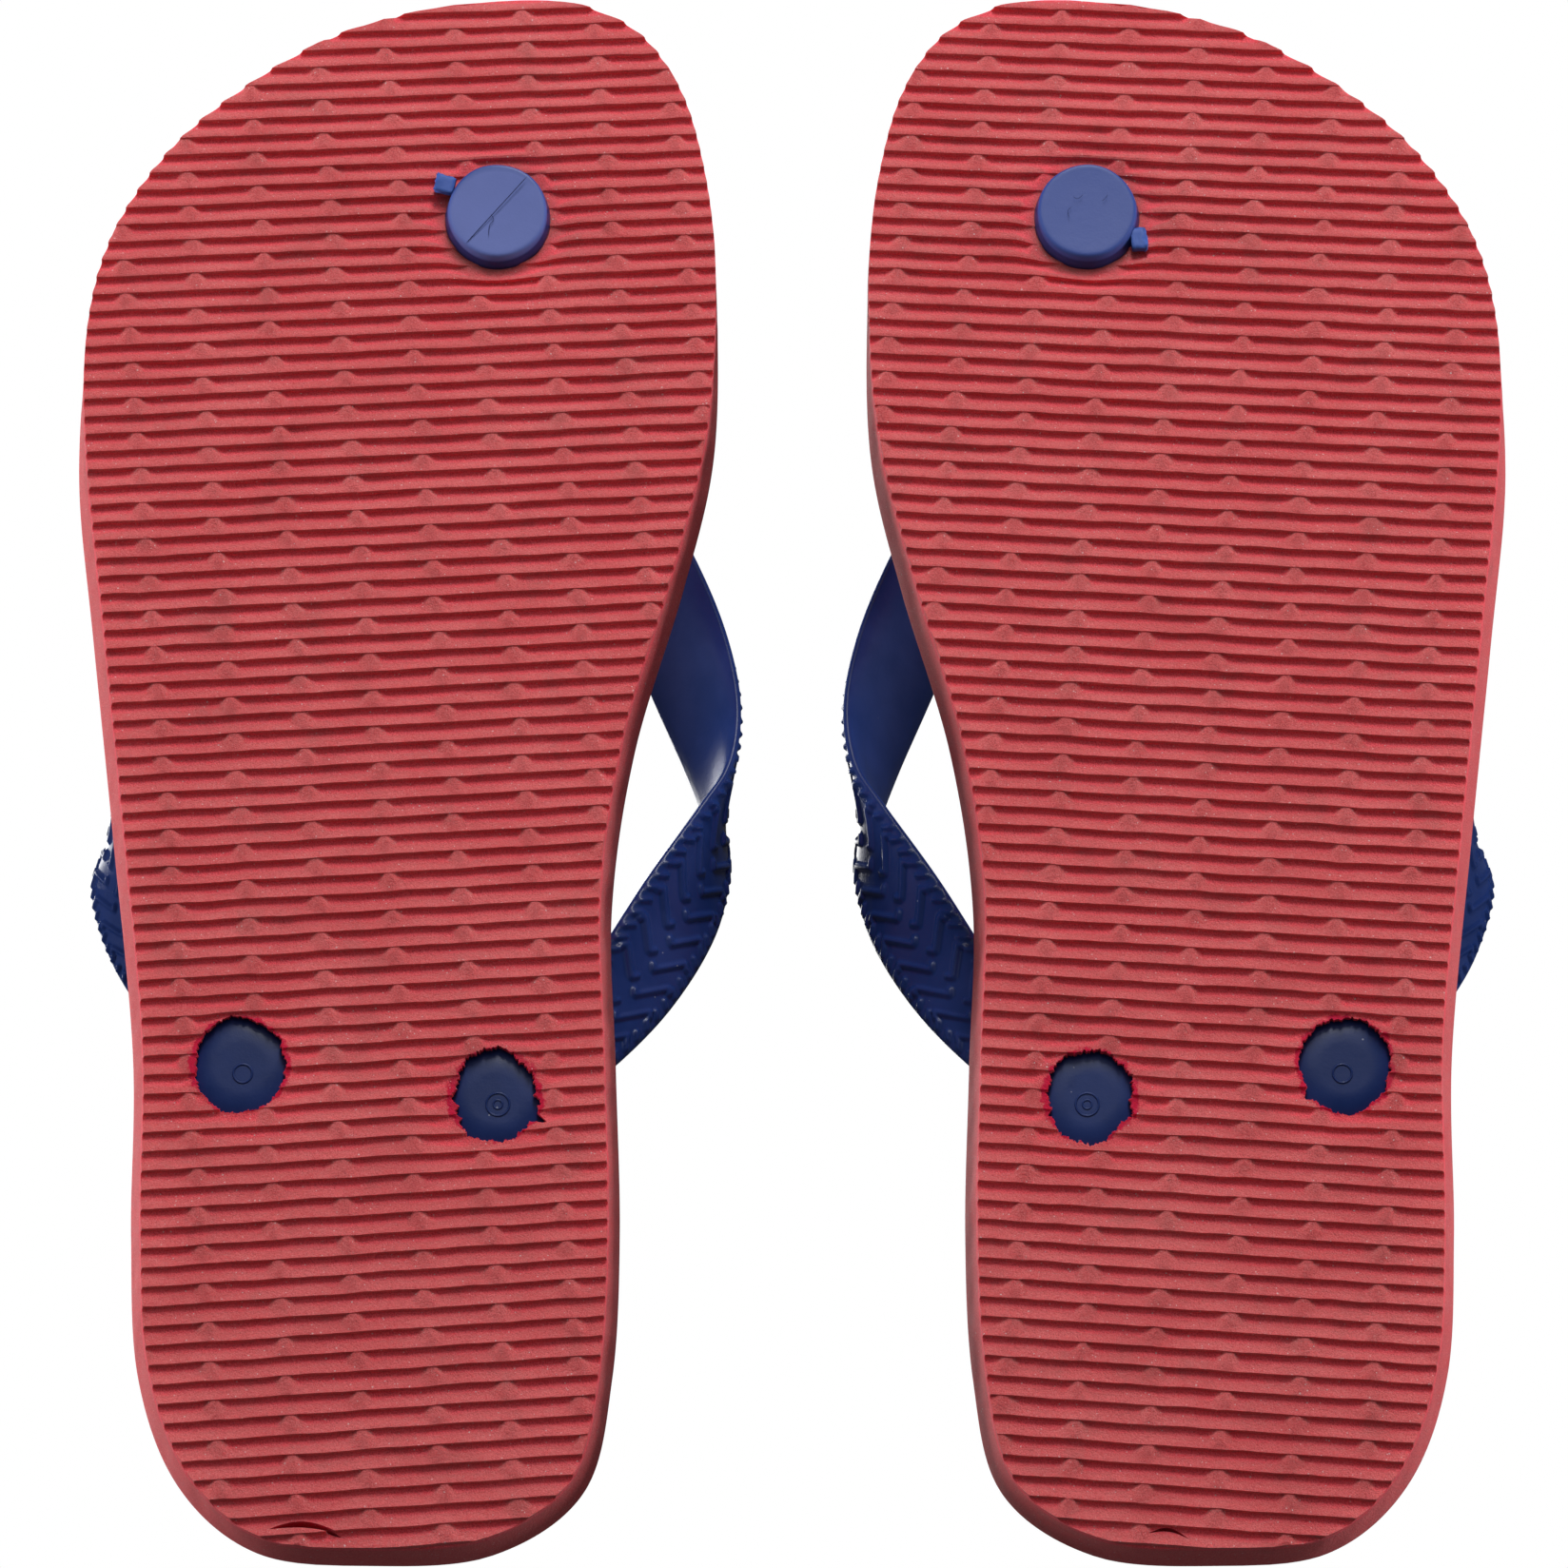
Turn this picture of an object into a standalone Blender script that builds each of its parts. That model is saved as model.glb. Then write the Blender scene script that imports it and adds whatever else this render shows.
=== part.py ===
"""A pair of thong flip-flops standing on their treads, toes towards -Y.

Each shoe is two real pieces: a moulded foam-rubber sole, and a strap moulded in one with its toe post
and its plugs. Shapes are written once for the right shoe, in the shoe's own frame: +X towards the
other shoe, +Y towards the heel, +Z up from the floor. The left shoe is its mirror image.
"""

import math

import bmesh
import bpy
import numpy as np

MM = 0.001
GAP = 0.3 * MM  # clearance between a strap and the sole that holds it

# The shoe's place in the pair
AXIS_TO_MIDDLE = 69.0 * MM
MIDDLE_Y = 0.2 * MM  # moves the pair's box evenly about the origin

# Sole, outline of the footbed: from the toe tip down the inner side, round the heel, up the outer side
SOLE_OUTLINE_MM = (
    (22.5, -135.4),
    (40.8, -131.0),
    (51.0, -119.0),
    (55.6, -102.0),
    (57.1, -80.0),
    (56.0, -54.0),
    (50.6, -30.0),
    (42.6, -2.0),
    (38.9, 25.0),
    (39.7, 52.0),
    (40.5, 80.0),
    (39.4, 104.0),
    (34.8, 123.0),
    (20.0, 133.3),
    (0.0, 135.0),
    (-18.5, 132.9),
    (-31.5, 122.0),
    (-38.5, 104.0),
    (-40.2, 80.0),
    (-40.5, 50.0),
    (-44.4, 14.0),
    (-48.4, -20.0),
    (-52.0, -52.0),
    (-51.3, -76.0),
    (-45.2, -96.4),
    (-31.8, -113.9),
    (-7.8, -129.4),
)
# How far the side walls flare out from the tread to the footbed
INNER_FLARE = 1.9 * MM
OUTER_FLARE = 2.9 * MM
HEEL_FLARE = 0.7 * MM
TOE_FLARE = 1.5 * MM
FOOTBED_ROUND = 1.2 * MM  # bevel along the footbed's edge
TOE_THICK = 13.0 * MM
HEEL_THICK = 15.5 * MM
THICKEN_FROM = -40.0 * MM
THICKEN_TO = 80.0 * MM
SOLE_STATIONS = 40
OUTLINE_STEPS = 16

# Toe post and its disc, which stands proud of the tread and lifts the toe
POST = (19.1 * MM, -93.3 * MM)
POST_RADIUS = 3.2 * MM
POST_TOP = 33.0 * MM
# The post's swelling into the bands, as (added radius, depth below its top)
POST_ROOT_MM = ((0.0, 9.0), (1.6, 5.0), (2.2, 1.0), (0.8, -2.0))
DISC_RADIUS = 9.0 * MM
DISC_THICK = 2.6 * MM
DISC_ROUND = 0.8 * MM
DISC_PROUD = 2.0 * MM
LIFT_FROM = -20.0 * MM  # in front of this line the sole curls up off the floor

# Rear plugs, recessed in the tread
INNER_PLUG = (20.2 * MM, 59.4 * MM)
OUTER_PLUG = (-21.8 * MM, 54.2 * MM)
PLUG_NECK_RADIUS = 5.2 * MM
PLUG_RADIUS = 7.6 * MM
PLUG_RECESS = 2.4 * MM
PLUG_THICK = 3.0 * MM
PLUG_TOP = 18.2 * MM
PLUG_TAPER = 2.0 * MM  # height over which the neck narrows at its top
PLUG_TAPER_SHARE = 0.6
TURN_STEPS = 28

# The two bands: the edge on the toe side and the edge on the ankle side, from the post to the plug
INNER_TOE_EDGE_MM = (
    (21.6, -95.6, 27.5),
    (33.0, -76.0, 36.0),
    (45.0, -57.0, 40.0),
    (53.3, -41.0, 41.0),
    (57.8, -28.5, 41.0),
    (59.6, -17.0, 39.5),
    (58.2, -6.5, 36.5),
    (53.5, 2.0, 33.0),
    (44.6, 16.0, 28.5),
    (35.0, 32.5, 24.8),
    (26.4, 45.8, 20.9),
    (17.7, 56.5, 15.2),
)
INNER_ANKLE_EDGE_MM = (
    (18.4, -90.6, 31.5),
    (24.5, -69.0, 43.5),
    (34.0, -48.0, 51.0),
    (41.0, -33.0, 53.5),
    (46.2, -21.0, 54.0),
    (51.0, -9.5, 52.5),
    (54.8, 1.5, 49.0),
    (57.4, 11.0, 44.5),
    (55.0, 24.0, 38.0),
    (46.8, 39.0, 31.0),
    (34.2, 53.2, 22.8),
    (22.7, 62.3, 15.2),
)
OUTER_TOE_EDGE_MM = (
    (16.5, -95.4, 27.3),
    (1.0, -79.0, 37.0),
    (-14.0, -62.0, 42.0),
    (-28.0, -44.0, 44.5),
    (-38.5, -28.0, 44.0),
    (-44.5, -14.0, 41.0),
    (-45.3, -2.0, 36.5),
    (-42.5, 11.0, 30.5),
    (-37.0, 25.0, 26.0),
    (-30.5, 37.0, 22.5),
    (-24.4, 46.0, 19.0),
    (-19.1, 51.7, 15.0),
)
OUTER_ANKLE_EDGE_MM = (
    (20.0, -90.4, 31.3),
    (9.5, -69.0, 43.5),
    (-3.0, -51.0, 50.5),
    (-17.0, -34.5, 54.5),
    (-29.0, -21.0, 55.5),
    (-39.5, -8.0, 53.5),
    (-46.3, 4.0, 48.5),
    (-49.8, 14.0, 42.0),
    (-46.6, 26.5, 35.5),
    (-40.7, 37.5, 29.2),
    (-32.4, 49.2, 21.6),
    (-24.5, 56.7, 15.0),
)
BAND_THICK = 2.6 * MM
BAND_STEPS = 4  # sections per stretch between two points of an edge
# A band's section, as shares of its width and thickness: flat inside, crowned outside
BAND_SECTION = (
    (-0.5, 0.25),
    (-0.42, 0.0),
    (0.42, 0.0),
    (0.5, 0.25),
    (0.5, 0.75),
    (0.36, 1.0),
    (-0.36, 1.0),
    (-0.5, 0.75),
)

RED_RUBBER = ("red_rubber", (0.48, 0.07, 0.075), 0.85)
BLUE_PLASTIC = ("blue_plastic", (0.018, 0.04, 0.19), 0.4)


def clear_scene():
    for obj in list(bpy.data.objects):
        bpy.data.objects.remove(obj, do_unlink=True)


def make_material(name, colour, roughness):
    material = bpy.data.materials.new(name)
    material.use_nodes = True
    shader = material.node_tree.nodes["Principled BSDF"]
    shader.inputs["Base Color"].default_value = (*colour, 1.0)
    shader.inputs["Roughness"].default_value = roughness
    shader.inputs["Metallic"].default_value = 0.0
    return material


def smooth_step(value, low, high):
    t = np.clip((value - low) / (high - low), 0.0, 1.0)
    return t * t * (3 - 2 * t)


def catmull_rom(points, steps, closed):
    """Points along a smooth curve through the given ones, `steps` to each stretch."""
    points = np.asarray(points, float)
    if closed:
        padded = np.vstack([points[-1:], points, points[:2]])
    else:
        padded = np.vstack([2 * points[0] - points[1], points, 2 * points[-1] - points[-2]])
    t = (np.arange(steps) / steps)[:, None]
    found = []
    for a, b, c, d in zip(padded, padded[1:], padded[2:], padded[3:]):
        square = 2 * a - 5 * b + 4 * c - d
        cubic = 3 * b - a - 3 * c + d
        found.append(0.5 * (2 * b + (c - a) * t + square * t**2 + cubic * t**3))
    if not closed:
        found.append(points[-1:])
    return np.vstack(found)


def tread_lift(y):
    """Height of the tread over the floor: flat, then curling up to clear the toe disc."""
    return DISC_PROUD * np.clip((LIFT_FROM - y) / (LIFT_FROM - POST[1]), 0.0, None) ** 2


def footbed_height(y):
    thick = TOE_THICK + (HEEL_THICK - TOE_THICK) * smooth_step(y, THICKEN_FROM, THICKEN_TO)
    return tread_lift(y) + thick


def tread_inset(inwards):
    """How far the tread's edge is inside the footbed's, given the direction inwards at each point."""
    x, y = inwards.T
    flare = INNER_FLARE * np.clip(-x, 0, None) ** 2 + OUTER_FLARE * np.clip(x, 0, None) ** 2
    flare += HEEL_FLARE * np.clip(-y, 0, None) ** 2 + TOE_FLARE * np.clip(y, 0, None) ** 2
    return flare[:, None]


def outline(inset):
    """The footbed's outline moved inwards, as (outer x, inner x, y) at each station from toe to heel.

    `inset` gives the distance from the direction inwards at each point.
    """
    curve = catmull_rom(np.array(SOLE_OUTLINE_MM) * MM, OUTLINE_STEPS, closed=True)
    along = np.roll(curve, -1, axis=0) - np.roll(curve, 1, axis=0)
    along /= np.linalg.norm(along, axis=1)[:, None]
    inwards = np.column_stack([-along[:, 1], along[:, 0]])
    curve = curve + inset(inwards) * inwards
    toe = int(np.argmin(curve[:, 1]))
    curve = np.roll(curve, -toe, axis=0)
    heel = int(np.argmax(curve[:, 1]))
    inner = curve[: heel + 1]
    outer = np.vstack([curve[:1], curve[:heel - 1 : -1]])
    turn = np.linspace(0.0, math.pi, SOLE_STATIONS + 1)
    y = curve[0, 1] + (curve[heel, 1] - curve[0, 1]) * (1 - np.cos(turn)) / 2
    return np.interp(y, outer[:, 1], outer[:, 0]), np.interp(y, inner[:, 1], inner[:, 0]), y


def new_object(name, bm, material):
    bmesh.ops.remove_doubles(bm, verts=bm.verts, dist=1e-6)
    bmesh.ops.dissolve_degenerate(bm, edges=bm.edges, dist=1e-7)
    bmesh.ops.recalc_face_normals(bm, faces=bm.faces)
    mesh = bpy.data.meshes.new(name)
    bm.to_mesh(mesh)
    bm.free()
    mesh.shade_smooth()
    mesh.set_sharp_from_angle(angle=math.radians(35))
    mesh.materials.append(material)
    obj = bpy.data.objects.new(name, mesh)
    bpy.context.scene.collection.objects.link(obj)
    return obj


def sweep(rings):
    """A closed skin over rings of equally many points, with the first and last ring filled."""
    bm = bmesh.new()
    rows = [[bm.verts.new(tuple(point)) for point in ring] for ring in rings]
    for row, following in zip(rows, rows[1:]):
        for i in range(len(row)):
            j = (i + 1) % len(row)
            bm.faces.new((row[i], row[j], following[j], following[i]))
    bm.faces.new(rows[0])
    bm.faces.new(rows[-1])
    return bm


def turned(profile, centre):
    """A solid of revolution about a vertical axis, from (radius, z) pairs listed from end to end."""
    rings = []
    for radius, z in profile:
        turn = np.arange(TURN_STEPS) * 2 * math.pi / TURN_STEPS
        x = centre[0] + radius * np.cos(turn)
        y = centre[1] + radius * np.sin(turn)
        rings.append(np.column_stack([x, y, np.full(TURN_STEPS, z)]))
    return sweep(rings)


def place(bm, side):
    """Moves a shape from the shoe's own frame to the pair's: side is -1 for the right shoe, 1 for the left."""
    for vert in bm.verts:
        vert.co.x = side * (AXIS_TO_MIDDLE - vert.co.x)
        vert.co.y += MIDDLE_Y
    return bm


def sole_body():
    """The sole before its holes are cut: a ring at each station through the tread, wall and footbed."""
    levels = []
    for inset, base_height, drop in (
        (tread_inset, tread_lift, 0.0),
        (lambda _: 0.0, footbed_height, FOOTBED_ROUND),
        (lambda _: FOOTBED_ROUND, footbed_height, 0.0),
    ):
        outer_x, inner_x, y = outline(inset)
        levels.append((outer_x, inner_x, y, base_height(y) - drop))
    bm = bmesh.new()
    rings = []
    for k in range(SOLE_STATIONS + 1):
        inner_side = [bm.verts.new((inner_x[k], y[k], z[k])) for _, inner_x, y, z in levels]
        outer_side = [bm.verts.new((outer_x[k], y[k], z[k])) for outer_x, _, y, z in reversed(levels)]
        rings.append(inner_side + outer_side)
    for ring, following in zip(rings, rings[1:]):
        for i in range(len(ring)):
            j = (i + 1) % len(ring)
            bm.faces.new((ring[i], ring[j], following[j], following[i]))
    return bm


def holes_body():
    """The spaces that the strap's posts and plugs take up, each running out of both faces of the sole."""
    bm = bmesh.new()
    above = 2 * HEEL_THICK
    below = -HEEL_THICK
    toe_seat = DISC_THICK + GAP
    plug_seat = PLUG_RECESS + PLUG_THICK + GAP
    holes = (
        (POST, POST_RADIUS, DISC_RADIUS, toe_seat),
        (INNER_PLUG, PLUG_NECK_RADIUS, PLUG_RADIUS, plug_seat),
        (OUTER_PLUG, PLUG_NECK_RADIUS, PLUG_RADIUS, plug_seat),
    )
    for centre, neck, wide, seat in holes:
        profile = ((wide + GAP, below), (wide + GAP, seat), (neck + GAP, seat), (neck + GAP, above))
        part = turned(profile, centre)
        mesh = bpy.data.meshes.new("hole")
        part.to_mesh(mesh)
        part.free()
        bm.from_mesh(mesh)
        bpy.data.meshes.remove(mesh)
    return bm


def band_body(toe_edge_mm, ankle_edge_mm):
    """A strap band between its two edges: flat inside, gently crowned outside."""
    toe_edge = catmull_rom(np.array(toe_edge_mm) * MM, BAND_STEPS, closed=False)
    ankle_edge = catmull_rom(np.array(ankle_edge_mm) * MM, BAND_STEPS, closed=False)
    centre = (toe_edge + ankle_edge) / 2
    along = np.gradient(centre, axis=0)
    along /= np.linalg.norm(along, axis=1)[:, None]
    across = ankle_edge - toe_edge
    normal = np.cross(across, along)
    normal /= np.linalg.norm(normal, axis=1)[:, None]
    normal *= np.sign(normal[len(normal) // 3, 2])
    rings = []
    for c, w, n in zip(centre, across, normal):
        rings.append([c + v * w + n * BAND_THICK * (h - 0.5) for v, h in BAND_SECTION])
    return sweep(rings)


def post_body():
    """Toe disc, post, and the rounded root that the two bands grow from."""
    profile = [
        (DISC_RADIUS - DISC_ROUND, 0.0),
        (DISC_RADIUS, DISC_ROUND),
        (DISC_RADIUS, DISC_THICK),
        (POST_RADIUS, DISC_THICK),
    ]
    for swell, depth in POST_ROOT_MM:
        profile.append((POST_RADIUS + swell * MM, POST_TOP - depth * MM))
    return turned(profile, POST)


def plug_body(centre):
    profile = (
        (PLUG_RADIUS, PLUG_RECESS),
        (PLUG_RADIUS, PLUG_RECESS + PLUG_THICK),
        (PLUG_NECK_RADIUS, PLUG_RECESS + PLUG_THICK),
        (PLUG_NECK_RADIUS, PLUG_TOP - PLUG_TAPER),
        (PLUG_NECK_RADIUS * PLUG_TAPER_SHARE, PLUG_TOP),
    )
    return turned(profile, centre)


def helper(name, bm, side, material):
    """A cutter, or a shape to be joined to another, which isn't itself a node."""
    obj = new_object(name, place(bm, side), material)
    obj.hide_render = True
    obj.display_type = "WIRE"
    return obj


def combine(obj, other, operation):
    modifier = obj.modifiers.new(other.name, "BOOLEAN")
    modifier.operation = operation
    modifier.object = other


def make_shoe(name, side, rubber, plastic):
    sole = new_object(f"{name}_sole", place(sole_body(), side), rubber)
    combine(sole, helper(f"{name}_holes", holes_body(), side, rubber), "DIFFERENCE")
    strap = new_object(f"{name}_strap", place(post_body(), side), plastic)
    shapes = {
        "inner_band": band_body(INNER_TOE_EDGE_MM, INNER_ANKLE_EDGE_MM),
        "outer_band": band_body(OUTER_TOE_EDGE_MM, OUTER_ANKLE_EDGE_MM),
        "inner_plug": plug_body(INNER_PLUG),
        "outer_plug": plug_body(OUTER_PLUG),
    }
    for shape_name, bm in shapes.items():
        combine(strap, helper(f"{name}_{shape_name}", bm, side, plastic), "UNION")


def main():
    clear_scene()
    rubber = make_material(*RED_RUBBER)
    plastic = make_material(*BLUE_PLASTIC)
    make_shoe("right", -1, rubber, plastic)
    make_shoe("left", 1, rubber, plastic)


main()
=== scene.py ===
"""A pair of worn red rubber thong flip-flops with blue moulded straps, seen from under the treads.

Shapes are written once in millimetres for the right shoe, in the shoe's own frame: +X towards the
other shoe, +Y towards the heel, +Z up from the floor. The left shoe is its mirror image, with its
own wear. place() takes a shape to the pair's frame.
"""

import math

import bmesh
import bpy
import numpy as np
from mathutils import Matrix, Vector

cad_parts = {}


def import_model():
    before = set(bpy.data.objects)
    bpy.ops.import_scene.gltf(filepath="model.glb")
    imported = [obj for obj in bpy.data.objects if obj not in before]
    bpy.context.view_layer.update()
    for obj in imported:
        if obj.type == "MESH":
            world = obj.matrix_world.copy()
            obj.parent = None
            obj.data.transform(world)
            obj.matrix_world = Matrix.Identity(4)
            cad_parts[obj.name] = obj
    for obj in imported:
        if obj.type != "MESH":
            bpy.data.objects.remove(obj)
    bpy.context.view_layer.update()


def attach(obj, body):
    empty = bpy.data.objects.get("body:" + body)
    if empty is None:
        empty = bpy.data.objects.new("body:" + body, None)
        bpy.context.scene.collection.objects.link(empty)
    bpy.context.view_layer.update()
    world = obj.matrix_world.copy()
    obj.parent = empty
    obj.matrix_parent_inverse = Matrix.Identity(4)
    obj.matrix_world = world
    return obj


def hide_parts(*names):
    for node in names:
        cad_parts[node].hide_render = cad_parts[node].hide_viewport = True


# ---- sizes shared with the CAD, in millimetres ----
AXIS_TO_MIDDLE = 69.0
MIDDLE_Y = 0.2
SOLE_OUTLINE = (
    (22.5, -135.4), (40.8, -131.0), (51.0, -119.0), (55.6, -102.0), (57.1, -80.0), (56.0, -54.0),
    (50.6, -30.0), (42.6, -2.0), (38.9, 25.0), (39.7, 52.0), (40.5, 80.0), (39.4, 104.0),
    (34.8, 123.0), (20.0, 133.3), (0.0, 135.0), (-18.5, 132.9), (-31.5, 122.0), (-38.5, 104.0),
    (-40.2, 80.0), (-40.5, 50.0), (-44.4, 14.0), (-48.4, -20.0), (-52.0, -52.0), (-51.3, -76.0),
    (-45.2, -96.4), (-31.8, -113.9), (-7.8, -129.4),
)
INNER_FLARE = 1.9
OUTER_FLARE = 2.9
HEEL_FLARE = 0.7
TOE_FLARE = 1.5
TOE_THICK = 13.0
HEEL_THICK = 15.5
THICKEN_FROM = -40.0
THICKEN_TO = 80.0
POST = (19.1, -93.3)
POST_RADIUS = 3.2
DISC_RADIUS = 9.0
DISC_PROUD = 2.0
DISC_TIP = 0.045  # the disc's toe side lies this much deeper for each mm
DISC_LEAN = 0.8  # its face is shifted this far towards the toe
LIFT_FROM = -20.0
INNER_PLUG = (20.2, 59.4)
OUTER_PLUG = (-21.8, 54.2)
PLUG_RECESS = 2.4
PLUG_THICK = 3.0
INNER_TOE_EDGE = (
    (21.6, -95.6, 27.5), (33.0, -76.0, 36.0), (45.0, -57.0, 40.0), (53.3, -41.0, 41.0),
    (57.8, -28.5, 41.0), (59.6, -17.0, 39.5), (58.2, -6.5, 36.5), (53.5, 2.0, 33.0),
    (44.6, 16.0, 28.5), (35.0, 32.5, 24.8), (26.4, 45.8, 20.9), (17.7, 56.5, 15.2),
)
INNER_ANKLE_EDGE = (
    (18.4, -90.6, 31.5), (24.5, -69.0, 43.5), (34.0, -48.0, 51.0), (41.0, -33.0, 53.5),
    (46.2, -21.0, 54.0), (51.0, -9.5, 52.5), (54.8, 1.5, 49.0), (57.4, 11.0, 44.5),
    (55.0, 24.0, 38.0), (46.8, 39.0, 31.0), (34.2, 53.2, 22.8), (22.7, 62.3, 15.2),
)
OUTER_TOE_EDGE = (
    (16.5, -95.4, 27.3), (1.0, -79.0, 37.0), (-14.0, -62.0, 42.0), (-28.0, -44.0, 44.5),
    (-38.5, -28.0, 44.0), (-44.5, -14.0, 41.0), (-45.3, -2.0, 36.5), (-42.5, 11.0, 30.5),
    (-37.0, 25.0, 26.0), (-30.5, 37.0, 22.5), (-24.4, 46.0, 19.0), (-19.1, 51.7, 15.0),
)
OUTER_ANKLE_EDGE = (
    (20.0, -90.4, 31.3), (9.5, -69.0, 43.5), (-3.0, -51.0, 50.5), (-17.0, -34.5, 54.5),
    (-29.0, -21.0, 55.5), (-39.5, -8.0, 53.5), (-46.3, 4.0, 48.5), (-49.8, 14.0, 42.0),
    (-46.6, 26.5, 35.5), (-40.7, 37.5, 29.2), (-32.4, 49.2, 21.6), (-24.5, 56.7, 15.0),
)

# ---- tread ----
RIDGES_START = -140.0
RIDGE_PITCH = 3.05  # at the toe
RIDGE_PITCH_GROWTH = 0.0012  # added once per ridge squared, so the pitch is 3.25 at the heel
RIDGE_SLANT = (0.0564, 0.0001146)  # tangent of the ridges' slant at mid-length, its change per mm
COLUMN_SLANT = 0.098  # tangent of the lean of the web columns
RIDGE_DEPTH_TOE = 1.15
RIDGE_DEPTH_HEEL = 1.0
DEPTH_CHANGES = (-20.0, 100.0)  # from here to here, the depth goes from the toe's to the heel's
PROFILE_CHANGES = (-100.0, 20.0)  # and so does the ridges' profile
# Shares of the pitch, at the toe and at the heel: where a ridge's steep side ends, where the
# groove's flat floor ends, and where its ramp reaches the next crest.
DROP_ENDS = (0.09, 0.12)
FLOOR_ENDS = (0.27, 0.24)
RAMP_ENDS = (0.84, 0.96)
DROP_POWER = 1.5
RAMP_POWER = 1.25
ROW_SHARES = (0.0, 0.04, 0.1, 0.25, 0.4, 0.55, 0.7, 0.85)  # where rows of vertices cross each pitch
WEB_SPACING = 11.9  # between neighbouring columns; each groove has a web in every second one
WEB_OFFSETS = (-5.95, -4.1, -2.75, -1.95, -1.4, -0.95, -0.5, 0.0, 0.5, 0.95, 1.4, 1.95, 2.75, 4.1)
WEB_TOP = 0.2  # depth of a web's top under the crests, where the groove starts
WEB_FLAT = 0.5  # half the width of its flat top
# Where the strap presses the tread flat: centre, the distances over which its relief comes back,
# and the depth and width of the dish round it.
PRESSED = (
    (POST, 8.4, 11.8, 0.85, 3.2),
    (INNER_PLUG, 6.8, 10.5, 0.3, 3.6),
    (OUTER_PLUG, 6.8, 10.0, 0.3, 3.6),
)
# Where the ridges bulge away from the strap: centre, radius, and how far they are pushed.
PUSHED = ((POST, DISC_RADIUS, 0.6), (INNER_PLUG, 7.5, 0.25), (OUTER_PLUG, 7.8, 0.25))
PUSH_WIDTH = 2.8
OUTLINE_STEPS = 26  # between neighbouring points of the outline
WALL_CURVE = 0.85  # how soon the side wall's flare opens
FLARE_FROM = -88.0  # on the toe side of this line, the side walls stand upright
FLARE_TO = -38.0  # and from this line to the heel they flare fully
UPRIGHT_INSET = (-122.0, -80.0, 0.5)  # from here to here, their inset falls by this share
WALL_HEIGHTS = (0.12, 0.24, 0.38, 0.54, 0.7, 0.86, 1.0)  # shares of the side wall's height
FOOTBED_COLUMNS = 26
FOOTBED_ROUND = 1.3
HOLES = {"out": (7.8, 0.04, 1.0, 5), "in": (7.4, 0.065, 1.5, 9)}  # radius, ovalness, teeth, flaps
HOLE_STEPS = 300
HOLE_DEPTH = PLUG_RECESS + 0.05
RIGHT_TEAR = ((-15.5, 131.0), (-4.0, 132.2), 0.8)  # the heel tear's two ends and half width
LEFT_TEAR = ((5.0, 132.6), (11.5, 131.7), 0.4)

# ---- strap ----
BAND_HALF_THICK = 1.25
BAND_STATION = 0.36
BAND_ACROSS = 50
BAND_INSIDE = 9
STUB_LENGTH = 15.0
RELIEF_HEIGHT = 0.55
KNOT_VOXEL = 0.00042  # in metres
KNOT_SMOOTHING = 14


def clear_default_objects():
    for name in ("Cube", "Light", "Camera"):
        if name in bpy.data.objects:
            bpy.data.objects.remove(bpy.data.objects[name], do_unlink=True)


# ---------------------------------------------------------------- maths
def smooth_step(value, low, high):
    t = np.clip((value - low) / (high - low), 0.0, 1.0)
    return t * t * (3 - 2 * t)


def ripple(x, y, length, seed):
    """Smooth noise in about -1..1, as a sum of plane waves of about the given length."""
    rng = np.random.default_rng(seed)
    waves = 7
    total = np.zeros(np.broadcast(x, y).shape)
    for _ in range(waves):
        heading = rng.uniform(0, 2 * math.pi)
        number = 2 * math.pi / (length * rng.uniform(0.6, 1.7))
        phase = rng.uniform(0, 2 * math.pi)
        total += np.sin(number * (x * math.cos(heading) + y * math.sin(heading)) + phase)
    return total / math.sqrt(waves)


def catmull_rom(points, steps, closed=False):
    points = np.asarray(points, float)
    if closed:
        padded = np.vstack([points[-1:], points, points[:2]])
    else:
        padded = np.vstack([2 * points[0] - points[1], points, 2 * points[-1] - points[-2]])
    t = (np.arange(steps) / steps)[:, None]
    found = []
    for a, b, c, d in zip(padded, padded[1:], padded[2:], padded[3:]):
        cubic = 3 * b - a - 3 * c + d
        square = 2 * a - 5 * b + 4 * c - d
        found.append(0.5 * (2 * b + (c - a) * t + square * t**2 + cubic * t**3))
    if not closed:
        found.append(points[-1:])
    return np.vstack(found)


def tread_lift(y):
    return DISC_PROUD * np.clip((LIFT_FROM - y) / (LIFT_FROM - POST[1]), 0.0, None) ** 2


def footbed_height(y):
    grown = smooth_step(y, THICKEN_FROM, THICKEN_TO)
    return tread_lift(y) + TOE_THICK + (HEEL_THICK - TOE_THICK) * grown


def segment_distance(x, y, start, end):
    ax, ay = start
    bx, by = end[0] - ax, end[1] - ay
    t = np.clip(((x - ax) * bx + (y - ay) * by) / (bx * bx + by * by), 0.0, 1.0)
    return np.hypot(x - ax - t * bx, y - ay - t * by)


# ---------------------------------------------------------------- meshes
def place(points, side):
    """From the shoe's frame in mm to the pair's in metres. side is -1 for the right shoe, or 1."""
    moved = np.array(points, float)
    moved[:, 0] = side * (AXIS_TO_MIDDLE - moved[:, 0])
    moved[:, 1] += MIDDLE_Y
    return moved / 1000


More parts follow.
